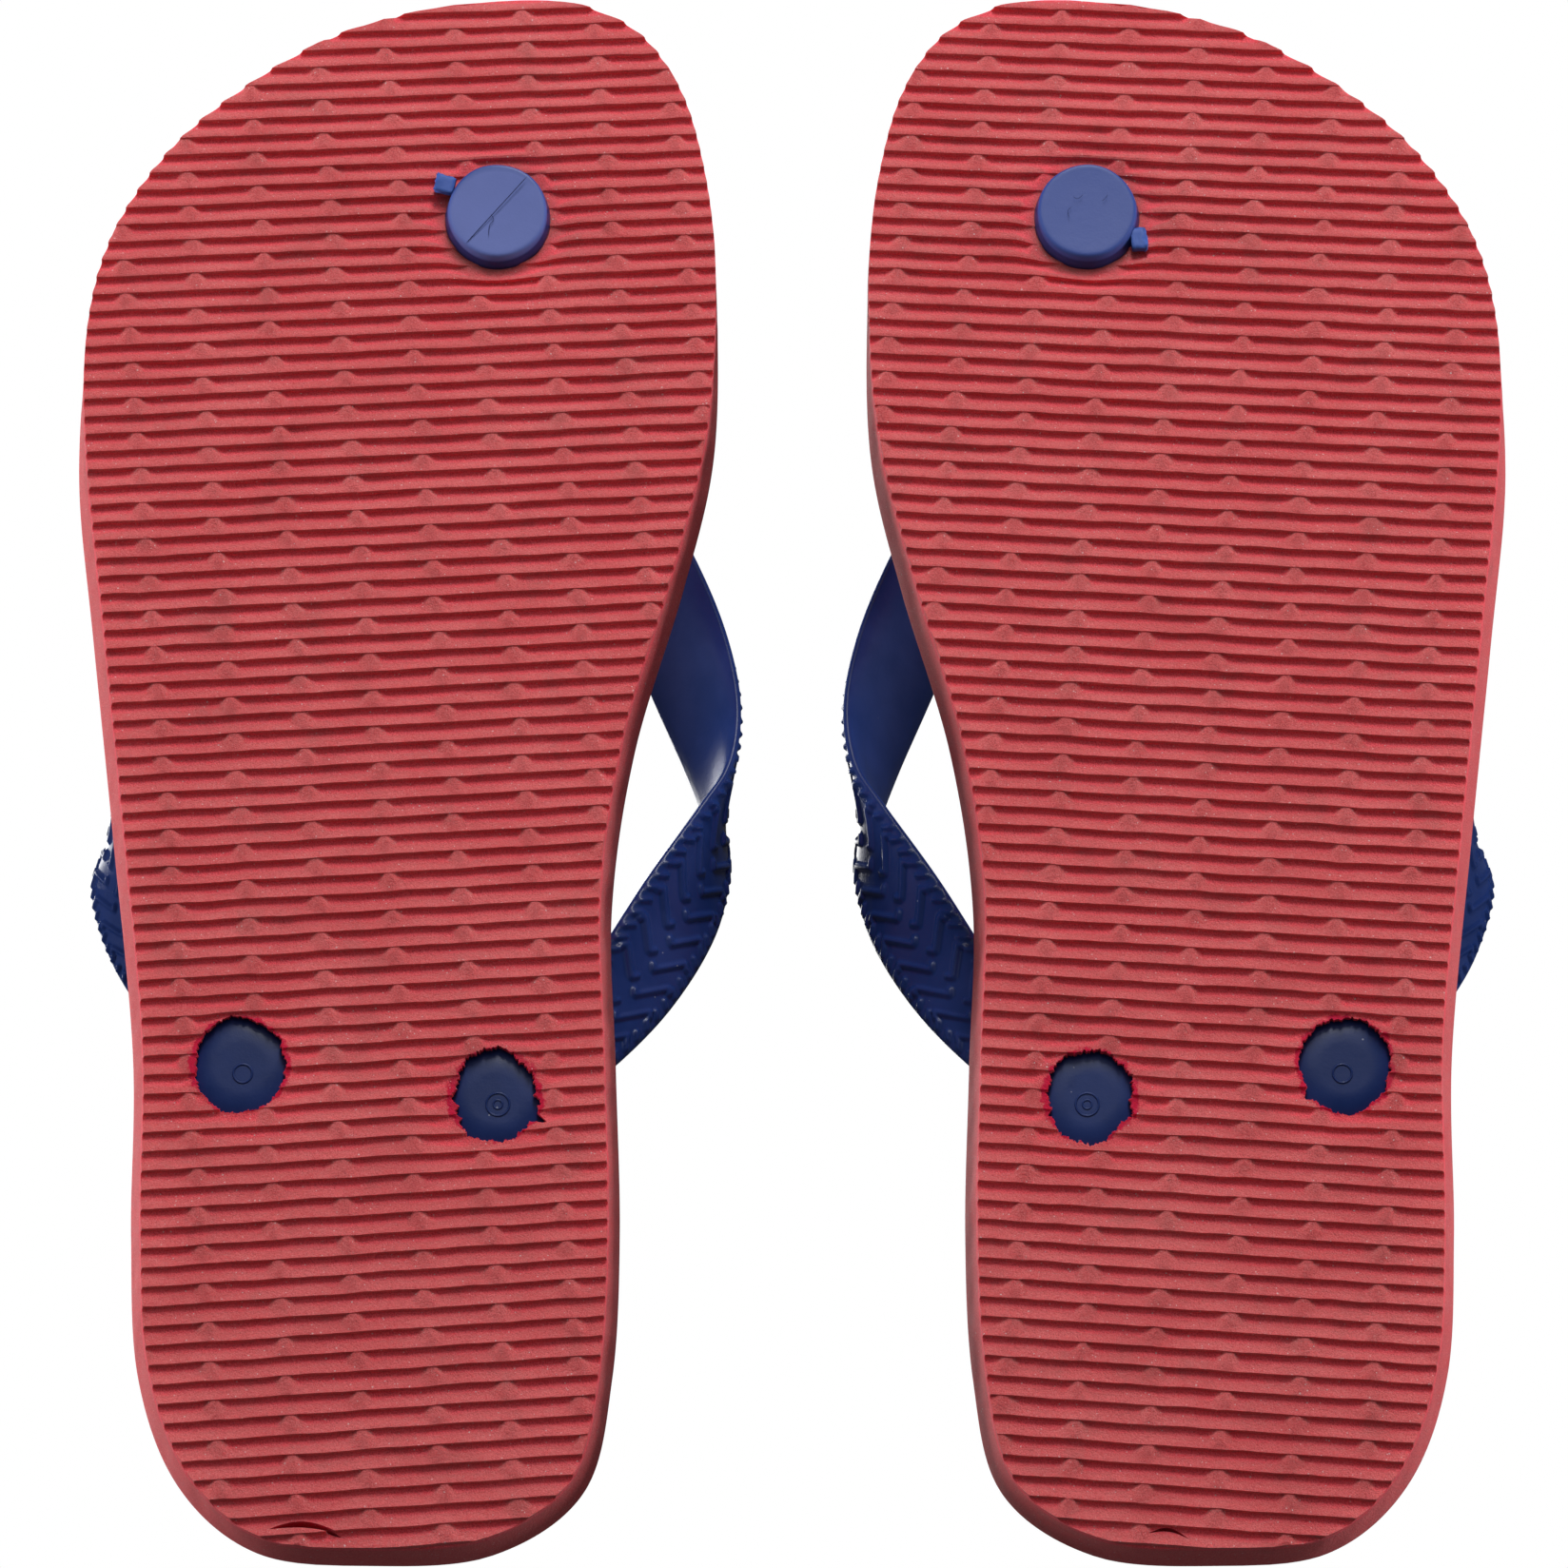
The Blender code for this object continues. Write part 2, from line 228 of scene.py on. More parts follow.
def mesh_object(name, points, faces, side, materials, kinds=None):
    """An object from points and quads or triangles, welded and with its normals outwards."""
    mesh = bpy.data.meshes.new(name)
    mesh.from_pydata(place(points, side).tolist(), [], [tuple(f) for f in faces])
    for material in materials:
        mesh.materials.append(material)
    if kinds is not None:
        mesh.polygons.foreach_set("material_index", np.asarray(kinds, np.int32))
    bm = bmesh.new()
    bm.from_mesh(mesh)
    bmesh.ops.remove_doubles(bm, verts=bm.verts, dist=2e-6)
    bmesh.ops.dissolve_degenerate(bm, edges=bm.edges, dist=1e-7)
    bmesh.ops.recalc_face_normals(bm, faces=bm.faces)
    bm.to_mesh(mesh)
    bm.free()
    mesh.shade_smooth()
    obj = bpy.data.objects.new(name, mesh)
    bpy.context.scene.collection.objects.link(obj)
    return obj


def rings_faces(rings, around, caps=True):
    """Quads over `rings` rings of `around` points each."""
    faces = []
    for i in range(rings - 1):
        for j in range(around):
            k = (j + 1) % around
            low, high = i * around, (i + 1) * around
            faces.append((low + j, low + k, high + k, high + j))
    if caps:
        faces.append(tuple(range(around)))
        faces.append(tuple((rings - 1) * around + j for j in range(around)))
    return faces


def turned(profile, centre, steps=96, wobble=None):
    """Points and faces of a solid of revolution about a vertical axis, from (radius, z) pairs."""
    turn = np.arange(steps) * 2 * math.pi / steps
    points = []
    for radius, z in profile:
        extent = radius if wobble is None else radius + wobble * (radius > 0.5)
        x, y = centre[0] + extent * np.cos(turn), centre[1] + extent * np.sin(turn)
        points.append(np.column_stack([x, y, np.full(steps, z)]))
    return np.vstack(points), rings_faces(len(profile), steps)


def apply_modifiers(obj):
    graph = bpy.context.evaluated_depsgraph_get()
    mesh = bpy.data.meshes.new_from_object(obj.evaluated_get(graph))
    old = obj.data
    obj.modifiers.clear()
    obj.data = mesh
    bpy.data.meshes.remove(old)


def join(name, objects):
    """One object of several, each keeping its own materials."""
    bpy.ops.object.select_all(action="DESELECT")
    for obj in objects:
        obj.select_set(True)
    bpy.context.view_layer.objects.active = objects[0]
    bpy.ops.object.join()
    joined = bpy.context.view_layer.objects.active
    joined.name = name
    joined.data.name = name
    return joined


# ---------------------------------------------------------------- sole
def slanted(x, y):
    """(s, c) of a point: how far along its ridge it is, and which ridge line it is on."""
    return x - COLUMN_SLANT * y, (y + RIDGE_SLANT[0] * x) / (1 - RIDGE_SLANT[1] * x)


def unslanted(s, c):
    tangent = RIDGE_SLANT[0] + RIDGE_SLANT[1] * c
    y = (c - s * tangent) / (1 + COLUMN_SLANT * tangent)
    return s + COLUMN_SLANT * y, y


def ridge_line(k):
    return RIDGES_START + RIDGE_PITCH * k + RIDGE_PITCH_GROWTH * k * k


def ridge_depth(y):
    heel = smooth_step(y, *DEPTH_CHANGES)
    return RIDGE_DEPTH_TOE + (RIDGE_DEPTH_HEEL - RIDGE_DEPTH_TOE) * heel


def tread_rows(low, high):
    """(ridge line coordinate, ridge number, share of the pitch) of each row, toe to heel."""
    rows = []
    k = 0
    while ridge_line(k) < high:
        for share in ROW_SHARES:
            rows.append((ridge_line(k) + share * (ridge_line(k + 1) - ridge_line(k)), k, share))
        k += 1
    near_ends = (0.0, 0.03, 0.1, 0.22)
    for offset in near_ends:
        for c in (low + offset, high - offset):
            k = next(i for i in range(200) if ridge_line(i + 1) > c)
            rows.append((c, k, (c - ridge_line(k)) / (ridge_line(k + 1) - ridge_line(k))))
    rows = sorted(r for r in rows if low <= r[0] <= high)
    kept = rows[:1]
    for row in rows[1:]:
        if row[0] - kept[-1][0] > 0.02:
            kept.append(row)
    kept[-1] = rows[-1]
    return kept


def ridge_profile(share, y):
    """Depth of the groove as a share of its full depth: a drop, a flat floor and a ramp up."""
    heel = smooth_step(y, *PROFILE_CHANGES)
    ends = (DROP_ENDS, FLOOR_ENDS, RAMP_ENDS)
    drop_end, floor_end, ramp_end = (at_toe + (at_heel - at_toe) * heel for at_toe, at_heel in ends)
    rise = np.clip((share - floor_end) / (ramp_end - floor_end), 0.0, 1.0)
    drop = np.clip(share / drop_end, 0.0, 1.0)
    return np.where(share < drop_end, 1 - (1 - drop) ** DROP_POWER, 1 - rise**RAMP_POWER)


def tread_height(x, y, s, k, share, seed):
    """Height of the tread over the flat or curled plane of its crests."""
    depth = ridge_depth(y) * (1 + 0.06 * ripple(x, y, 21.0, seed + 1))
    z = depth * ridge_profile(share, y)
    column = s / WEB_SPACING
    nearest = np.round(column)
    off = (column - nearest) * WEB_SPACING + 0.2 * ripple(x, y, 9.0, seed + 2)
    has_web = (nearest + k) % 2 == 0
    half = 1.1 + 3.2 * np.clip(share, 0.0, 0.5) + 0.25 * ripple(x, y, 16.0, seed + 8)
    across = np.clip((np.abs(off) - WEB_FLAT) / half, 0.0, 1.0)
    web = WEB_TOP * (1 - share) + 0.07 * ripple(x, y, 5.0, seed + 3)
    web = web + depth * across * across * (3 - 2 * across)
    z = np.where(has_web, np.minimum(z, np.maximum(web, 0.0)), z)
    z += 0.025 * ripple(x, y, 3.1, seed + 4) * (0.5 + share) + 0.03 * ripple(x, y, 8.0, seed + 9)
    for centre, flat_from, flat_to, dish, width in PRESSED:
        r = np.hypot(x - centre[0], y - centre[1])
        keep = 0.25 + 0.75 * smooth_step(r, flat_from, flat_to)
        z = z * keep + (1 - keep) * 0.35
        z += dish * np.exp(-(np.clip(r - DISC_RADIUS, 0.0, None) / width) ** 2)
    return np.maximum(z, 0.0)


def sole_mesh(name, side, materials, seed):
    base = catmull_rom(SOLE_OUTLINE, OUTLINE_STEPS, closed=True)
    along = np.roll(base, -1, axis=0) - np.roll(base, 1, axis=0)
    along /= np.linalg.norm(along, axis=1)[:, None]
    inwards = np.column_stack([-along[:, 1], along[:, 0]])
    nx, ny = inwards.T
    flare = INNER_FLARE * np.clip(-nx, 0, None) ** 2 + OUTER_FLARE * np.clip(nx, 0, None) ** 2
    flare += HEEL_FLARE * np.clip(-ny, 0, None) ** 2 + TOE_FLARE * np.clip(ny, 0, None) ** 2
    upright = 1 - smooth_step(base[:, 1], FLARE_FROM, FLARE_TO)
    out_from, out_to, out_share = UPRIGHT_INSET
    inset = flare * upright * (1 - out_share * smooth_step(base[:, 1], out_from, out_to))
    base = base + inset[:, None] * inwards
    tread = base + (flare * (1 - upright))[:, None] * inwards
    _, line = slanted(tread[:, 0], tread[:, 1])
    first = int(np.argmin(line))
    base, inwards, tread, line = (np.roll(a, -first, axis=0) for a in (base, inwards, tread, line))
    last = int(np.argmax(line))
    count = len(base)
    inner = np.arange(0, last + 1)
    outer = np.arange(count, last - 1, -1)
    rows = tread_rows(line.min(), line.max())
    c = np.array([r[0] for r in rows])
    k = np.array([r[1] for r in rows])[:, None]
    share = np.array([r[2] for r in rows])[:, None]

    def edge(branch):
        """Tread edge, footbed edge and inward direction where each row meets a side's outline."""
        at = np.interp(c, np.maximum.accumulate(line[branch % count]), branch)
        low = np.floor(at).astype(int)
        t = (at - low)[:, None]
        mixed = []
        for a in (tread, base, inwards):
            mixed.append(a[low % count] * (1 - t) + a[(low + 1) % count] * t)
        return mixed

    (in_tread, in_base, in_dir), (out_tread, out_base, out_dir) = edge(inner), edge(outer)
    s_low = slanted(out_tread[:, 0], out_tread[:, 1])[0][:, None]
    s_high = slanted(in_tread[:, 0], in_tread[:, 1])[0][:, None]
    columns = np.add.outer(np.arange(-7, 8) * WEB_SPACING, WEB_OFFSETS).ravel()
    columns = columns[(columns > s_low.min()) & (columns < s_high.max())][None, :]
    s = np.clip(np.hstack([s_low, np.repeat(columns, len(c), axis=0), s_high]), s_low, s_high)
    x, y = unslanted(s, c[:, None])
    z = tread_height(x, y, s, k, share, seed)
    inside = smooth_step(np.minimum(s - s_low, s_high - s), 0.0, 2.0)
    y = y + inside * (0.06 * ripple(x, y, 13.0, seed + 5) + 0.03 * ripple(x, y, 5.0, seed + 10))
    for centre, radius, push in PUSHED:
        away_x, away_y = x - centre[0], y - centre[1]
        r = np.hypot(away_x, away_y) + 0.01
        fade = np.exp(-((np.clip(r - radius, 0.0, None) / PUSH_WIDTH) ** 2))
        amount = inside * push * fade * np.clip(r / radius, 0.0, 1.0)
        x, y = x + amount * away_x / r, y + amount * away_y / r
    for column, tread_edge, base_edge in ((-1, in_tread, in_base), (0, out_tread, out_base)):
        top = footbed_height(base_edge[:, 1]) - FOOTBED_ROUND
        rise = ((z[:, column] / top) ** WALL_CURVE)[:, None]
        x[:, column], y[:, column] = (tread_edge + (base_edge - tread_edge) * rise).T
    rings = [np.stack([x, y, z + tread_lift(y)], axis=2)]

    def wall(tread_edge, base_edge, direction, flip):
        """The side wall from the tread up and over the footbed's rounded edge."""
        points = []
        top = footbed_height(base_edge[:, 1])
        lift = tread_lift(base_edge[:, 1])
        for f in WALL_HEIGHTS:
            flat = tread_edge + (base_edge - tread_edge) * f**WALL_CURVE
            height = lift + (top - FOOTBED_ROUND - lift) * f
            bulge = 0.1 * ripple(flat[:, 0] + flat[:, 1], height, 11.0, seed + 6)
            flat = flat - direction * (bulge * math.sin(math.pi * f))[:, None]
            points.append(np.column_stack([flat, height]))
        for turn in (30, 60, 90):
            a = math.radians(turn)
            flat = base_edge + direction * FOOTBED_ROUND * (1 - math.cos(a))
            points.append(np.column_stack([flat, top - FOOTBED_ROUND * (1 - math.sin(a))]))
        grid = np.stack(points, axis=1)
        return grid[:, ::-1] if flip else grid

    rings.append(wall(in_tread, in_base, in_dir, False))
    outer_wall = wall(out_tread, out_base, out_dir, True)
    near, far = rings[1][:, -1], outer_wall[:, 0]
    f = (np.arange(1, FOOTBED_COLUMNS) / FOOTBED_COLUMNS)[None, :, None]
    bed = near[:, None, :] * (1 - f) + far[:, None, :] * f
    bx, by = bed[:, :, 0], bed[:, :, 1]
    rim = np.minimum(f[:, :, 0], 1 - f[:, :, 0]) * np.linalg.norm(far - near, axis=1)[:, None]
    bed[:, :, 2] = footbed_height(by) - 0.55 * smooth_step(rim, 0.0, 14.0)
    bed[:, :, 2] += 0.1 * ripple(bx, by, 24.0, seed + 7) * smooth_step(rim, 0.0, 5.0)
    for centre, reach in ((POST, 4.5), (INNER_PLUG, 6.5), (OUTER_PLUG, 6.5)):
        r = np.hypot(bx - centre[0], by - centre[1])
        bed[:, :, 2] -= 0.35 * np.exp(-((r / reach) ** 2))
        bed[:, :, 2] += 0.25 * np.exp(-(((r - reach * 1.7) / 2.0) ** 2))
    heel_pad = np.exp(-((bx / 24.0) ** 2) - ((by - 92.0) / 34.0) ** 2)
    ball_pad = np.exp(-(((bx - 4.0) / 34.0) ** 2) - ((by + 62.0) / 32.0) ** 2)
    bed[:, :, 2] -= 0.5 * heel_pad + 0.4 * ball_pad
    rings.append(bed)
    rings.append(outer_wall)
    grid = np.concatenate(rings, axis=1)
    faces = rings_faces(grid.shape[0], grid.shape[1], caps=False)
    return mesh_object(name, grid.reshape(-1, 3), faces, side, materials)


def torn_outline(radius, oval, seed, teeth, flaps):
    """A ragged, slightly oval hole's directions and radii. Its flaps lie along the ridges."""
    rng = np.random.default_rng(seed)
    turn = np.arange(HOLE_STEPS) * 2 * math.pi / HOLE_STEPS
    r = radius * (1 + oval * np.cos(2 * (turn - 1.45)))
    for number, size in ((3, 0.18), (7, 0.14), (19, 0.09), (41, 0.07), (73, 0.06)):
        r = r + teeth * size * np.sin(number * turn + rng.uniform(0, 2 * math.pi))
    for flap in range(flaps):
        at = (flap % 2) * math.pi + rng.uniform(-0.75, 0.75)
        gap = np.angle(np.exp(1j * (turn - at)))
        width = rng.uniform(0.05, 0.14)
        r = r + rng.uniform(-0.6, 0.9) * teeth * np.clip(1 - np.abs(gap) / width, 0.0, None) ** 0.8
    r = r + teeth * 0.05 * rng.standard_normal(len(turn))
    return turn, r


def hole_cutter(name, centre, side, seed, which, materials):
    radius, oval, teeth, flaps = HOLES[which]
    turn, r = torn_outline(radius, oval, seed, teeth, flaps)
    rng = np.random.default_rng(seed + 50)
    points = []
    levels = ((-1.0, 0.25), (0.3, 0.12), (1.0, 0.0), (1.7, -0.08), (HOLE_DEPTH, 0.1))
    for z, grow in levels:
        rough = 0.06 * rng.standard_normal(len(turn)) * (z > 0)
        extent = r + grow + rough
        x, y = centre[0] + extent * np.cos(turn), centre[1] + extent * np.sin(turn)
        points.append(np.column_stack([x, y, np.full(len(turn), z)]))
    faces = rings_faces(len(levels), len(turn))
    kinds = np.ones(len(faces), np.int32)
    return mesh_object(name, np.vstack(points), faces, side, materials, kinds)


def heel_tear_cutter(name, side, materials, start, end, width):
    """A thin lens-shaped slit in the last ridges of the heel."""
    t = np.linspace(0.0, 1.0, 25)
    start, end = np.array(start), np.array(end)
    middle = start + (end - start) * t[:, None]
    middle[:, 1] -= 1.1 * np.sin(math.pi * t)
    lens = width * np.sin(math.pi * t) ** 0.8 + 0.02
    ring = np.vstack([
        np.column_stack([middle[:, 0], middle[:, 1] - lens]),
        np.column_stack([middle[:, 0], middle[:, 1] + lens * 0.5])[::-1],
    ])
    levels = (-1.0, 0.6, 3.4)
    points = [np.column_stack([ring + [0.0, 0.3 * z], np.full(len(ring), z)]) for z in levels]
    faces = rings_faces(len(levels), len(ring))
    kinds = np.ones(len(faces), np.int32)
    return mesh_object(name, np.vstack(points), faces, side, materials, kinds)


def cut(obj, cutters):
    for cutter in cutters:
        modifier = obj.modifiers.new("cut", "BOOLEAN")
        modifier.operation = "DIFFERENCE"
        modifier.solver = "MANIFOLD"
        modifier.object = cutter
    apply_modifiers(obj)
    for cutter in cutters:
        bpy.data.objects.remove(cutter, do_unlink=True)


# ---------------------------------------------------------------- strap
def bar_relief(l, v):
    """Raised pattern on a band: slanted stepped bars in two columns and ticks along both edges.
    l is the distance along the band and v the distance across it, in mm on a band 17.6 mm wide."""
    nearest = np.full(l.shape, 9.0)
    for column, lean, shift in ((-3.7, 1.0, 0.0), (3.7, -1.0, 2.4)):
        pitch = 5.9
        k = np.round((l - shift) / pitch)
        for step in (-1, 0, 1):
            x = l - shift - (k + step) * pitch
            y = v - column
            bar = segment_distance(x, y, (-2.3, -2.3 * lean), (2.3, 2.3 * lean))
            hook_a = segment_distance(x, y, (-2.3, -2.3 * lean), (-1.5, -3.1 * lean))
            hook_b = segment_distance(x, y, (2.3, 2.3 * lean), (1.5, 3.1 * lean))
            nearest = np.minimum(nearest, np.minimum(bar, np.minimum(hook_a, hook_b)))
    pattern = smooth_step(0.72 - nearest, 0.0, 0.42)
    tick_pitch = 2.6
    for edge in (-1.0, 1.0):
        x = (l + 1.0 * edge + tick_pitch / 2) % tick_pitch - tick_pitch / 2
        tick = segment_distance(x, v * edge, (-0.5, 6.9), (0.5, 8.35))
        pattern = np.maximum(pattern, smooth_step(0.56 - tick, 0.0, 0.3))
    return pattern


def band_frame(toe_edge, ankle_edge):
    """Centre, across and normal at even steps along a band, and the distance along it."""
    toe = catmull_rom(toe_edge, 40)
    ankle = catmull_rom(ankle_edge, 40)
    centre = (toe + ankle) / 2
    length = np.concatenate([[0.0], np.cumsum(np.linalg.norm(np.diff(centre, axis=0), axis=1))])
    at = np.linspace(0.0, length[-1], int(length[-1] / BAND_STATION))
    toe = np.column_stack([np.interp(at, length, toe[:, i]) for i in range(3)])
    ankle = np.column_stack([np.interp(at, length, ankle[:, i]) for i in range(3)])
    centre = (toe + ankle) / 2
    along = np.gradient(centre, axis=0)
    across = ankle - toe
    normal = np.cross(across, along)
    normal /= np.linalg.norm(normal, axis=1)[:, None]
    normal *= np.sign(normal[len(normal) // 3, 2])
    return centre, across, normal, at


def band_mesh(name, toe_edge, ankle_edge, side, material, seed):
    centre, across, normal, at = band_frame(toe_edge, ankle_edge)
    v = np.linspace(-1.0, 1.0, BAND_ACROSS)
    outside = BAND_HALF_THICK - 0.5 * np.abs(v) ** 5
    w = np.linspace(1.0, -1.0, BAND_INSIDE)
    inside = -BAND_HALF_THICK + 0.7 * np.abs(w) ** 6 + 0.25 * (1 - w * w)
    show = smooth_step(at, 13.0, 24.0) * (1 - smooth_step(at, at[-1] - 22.0, at[-1] - 12.0))
    l, across_mm = np.meshgrid(at, 8.8 * v, indexing="ij")
    relief = RELIEF_HEIGHT * show[:, None] * bar_relief(l, across_mm)
    wave = 0.05 * ripple(l, across_mm, 30.0, seed)
    out = centre[:, None] + across[:, None] * (v[None, :, None] / 2)
    out = out + normal[:, None] * (outside[None, :] + relief + wave)[:, :, None]
    inn = centre[:, None] + across[:, None] * (w[None, :, None] / 2)
    inn = inn + normal[:, None] * (inside[None, :] + wave[:, :1])[:, :, None]
    width = np.linalg.norm(across, axis=1)[:, None]
    unit = across / width

    def rounded(edge, top, bottom):
        """Three points round one long edge, from the outside to the inside."""
        middle = (top + bottom) / 2
        half = (top - bottom) / 2
        points = []
        for turn in (45, 90, 135):
            a = math.radians(turn)
            offset = edge * unit * half * math.sin(a) * 0.8 + normal * (middle + half * math.cos(a))
            points.append(centre + across * edge / 2 + offset)
        return np.stack(points, axis=1)

    right_edge = rounded(1.0, outside[-1], inside[0])
    left_edge = rounded(-1.0, outside[0], inside[-1])[:, ::-1]
    grid = np.concatenate([out, right_edge, inn, left_edge], axis=1)
    faces = rings_faces(grid.shape[0], grid.shape[1])
    return mesh_object(name, grid.reshape(-1, 3), faces, side, [material])


# (radius, height) of the turned stems of the toe post and the rear necks
POST_PROFILE = (
    (POST_RADIUS + 1.0, 6.0), (POST_RADIUS + 0.9, 12.5), (POST_RADIUS + 0.15, 15.5),
    (POST_RADIUS, 18.0), (POST_RADIUS + 0.1, 22.0), (3.8, 25.0), (4.5, 28.0), (4.6, 30.0),
    (4.0, 32.0), (2.4, 33.4), (0.3, 33.9),
)
NECK_PROFILE = (
    (4.9, 6.0), (5.0, 14.0), (5.3, 15.4), (5.5, 16.3), (5.3, 17.3), (4.5, 18.1), (2.8, 18.6),
    (0.3, 18.7),
)


def squared(value):
    """Turns a circle's cosine or sine into that of a rounded rectangle."""
    return np.sign(value) * np.abs(value) ** 0.55


def knot_mesh(name, centre, profile, stubs, side, material):
    """A turned stem with the ends of bands melted into it.

    Each stub is a band's toe edge and ankle edge, and the step along them: 1 from its front, -1
    from its end.
    """
    points, faces = turned(profile, centre, 48)
    pieces = [mesh_object(name + "_stem", points, faces, side, [material])]
    around = 32
    turn = np.arange(around) * 2 * math.pi / around
    for i, (toe_edge, ankle_edge, step) in enumerate(stubs):
        middle, across, normal, at = (a[::step] for a in band_frame(toe_edge, ankle_edge))
        rings = []
        for j in range(0, int(np.searchsorted(np.abs(at - at[0]), STUB_LENGTH)), 2):
            swell = 0.3 - 0.42 * smooth_step(abs(at[j] - at[0]), STUB_LENGTH / 2, STUB_LENGTH)
            half = np.linalg.norm(across[j]) / 2
            unit = across[j] / (2 * half)
            side_way = squared(np.cos(turn)) * (half + swell)
            up_way = squared(np.sin(turn)) * (BAND_HALF_THICK + swell)
            rings.append(middle[j] + side_way[:, None] * unit + up_way[:, None] * normal[j])
        faces = rings_faces(len(rings), around)
        pieces.append(mesh_object(f"{name}_stub{i}", np.vstack(rings), faces, side, [material]))
    knot = join(name, pieces)
    remesh = knot.modifiers.new("remesh", "REMESH")
    remesh.mode = "VOXEL"
    remesh.voxel_size = KNOT_VOXEL
    smooth = knot.modifiers.new("smooth", "SMOOTH")
    smooth.factor = 0.5
    smooth.iterations = KNOT_SMOOTHING
    apply_modifiers(knot)
    knot.data.materials.clear()
    knot.data.materials.append(material)
    knot.data.shade_smooth()
    return knot


def disc_mesh(name, side, material, seed):
    """The toe post's disc: a slightly hollow face with a rounded rim, standing proud and tipped."""
    face = [(0.02, 0.12), (2.5, 0.11), (4.5, 0.08), (6.2, 0.04), (7.3, 0.01), (7.75, 0.0)]
    rim = [(8.0, 0.03), (8.16, 0.1), (8.28, 0.22), (8.38, 0.4), (8.52, 0.9), (8.7, 1.5), (8.86, 2.2)]
    back = [(DISC_RADIUS, 3.0), (8.6, 3.6), (7.0, 4.0)]
    stem = [(POST_RADIUS, 4.2), (POST_RADIUS, 8.0), (0.02, 8.0)]
    steps = 120
    turn = np.arange(steps) * 2 * math.pi / steps
    wobble = 0.06 * np.sin(2 * turn + seed) + 0.04 * np.sin(5 * turn + 2 * seed)
    points, faces = turned(face + rim + back + stem, POST, steps, wobble)
    points[:, 1] -= DISC_LEAN * np.clip(1 - points[:, 2] / 2.4, 0.0, 1.0)
    points[:, 2] += DISC_TIP * np.clip(DISC_RADIUS - (points[:, 1] - POST[1]), 0.0, None)
    return mesh_object(name, points, faces, side, [material])


def plug_mesh(name, centre, side, material, mark):
    """A rear plug's face, seen at the bottom of its torn hole, with a small raised mould mark."""
    radius = 9.3
    profile = [(0.02, PLUG_RECESS), (4.0, PLUG_RECESS), (radius - 0.4, PLUG_RECESS)]
    profile += [(radius, PLUG_RECESS + 0.4), (radius, PLUG_RECESS + PLUG_THICK)]
    profile += [(4.8, PLUG_RECESS + PLUG_THICK + 0.3), (4.8, 8.0), (0.02, 8.0)]
    pieces = []
    points, faces = turned(profile, centre, 96)
    pieces.append(mesh_object(name, points, faces, side, [material]))
    rings = {"ring": ((1.55, 0.2),), "rings": ((0.75, 0.17), (1.9, 0.2))}[mark]
    for i, (major, minor) in enumerate(rings):
        long_way, short_way = 40, 10
        turn = np.arange(long_way) * 2 * math.pi / long_way
        small = np.arange(short_way) * 2 * math.pi / short_way
        big, little = np.meshgrid(turn, small, indexing="ij")
        extent = major + minor * np.cos(little)
        ring = (
            centre[0] + 0.4 + extent * np.cos(big),
            centre[1] + 1.1 + extent * np.sin(big),
            PLUG_RECESS + minor * np.sin(little),
        )
        points = np.stack(ring, axis=2).reshape(-1, 3)
        faces = rings_faces(long_way, short_way, caps=False)
        last = (long_way - 1) * short_way
        for j in range(short_way):
            k = (j + 1) % short_way
            faces.append((last + j, last + k, k, j))
        pieces.append(mesh_object(f"{name}_mark{i}", points, faces, side, [material]))
    return pieces


def tube(name, path, radius, side, material):
    """A thin round bead along a path, tapering at both ends."""
    around = 8
    turn = np.arange(around) * 2 * math.pi / around
    along = np.gradient(path, axis=0)
    along /= np.linalg.norm(along, axis=1)[:, None]
    up = np.array([0.0, 0.0, 1.0])
    rings = []
    for i, (p, d) in enumerate(zip(path, along)):
        across = np.cross(d, up)
        taper = min(1.0, 0.25 + 0.5 * min(i, len(path) - 1 - i))
        circle = np.cos(turn)[:, None] * across + np.sin(turn)[:, None] * up
        rings.append(p + radius * taper * circle)
    faces = rings_faces(len(rings), around)
    return mesh_object(name, np.vstack(rings), faces, side, [material])


def lump(name, centre, size, angle, side, material, seed):
    """A cut or torn stub of moulding sprue: a rough-ended box."""
    rng = np.random.default_rng(seed)
    bm = bmesh.new()
    bmesh.ops.create_cube(bm, size=1.0)
    bmesh.ops.subdivide_edges(bm, edges=bm.edges, cuts=5, use_grid_fill=True)
    c, s = math.cos(angle), math.sin(angle)
    points = []
    for vert in bm.verts:
        p = np.array(vert.co) * (1 + 0.16 * (0.75 - (np.array(vert.co) ** 2).sum()))
        p = p * size
        jagged = 0.22 if p[0] < -0.35 * size[0] else 0.06
        p = p + jagged * rng.standard_normal(3)
        turned_point = np.array([c * p[0] - s * p[1], s * p[0] + c * p[1], p[2]])
        points.append(np.asarray(centre, float) + turned_point)
    bm.verts.index_update()
    faces = [[v.index for v in face.verts] for face in bm.faces]
    bm.free()
    return mesh_object(name, np.array(points), faces, side, [material])


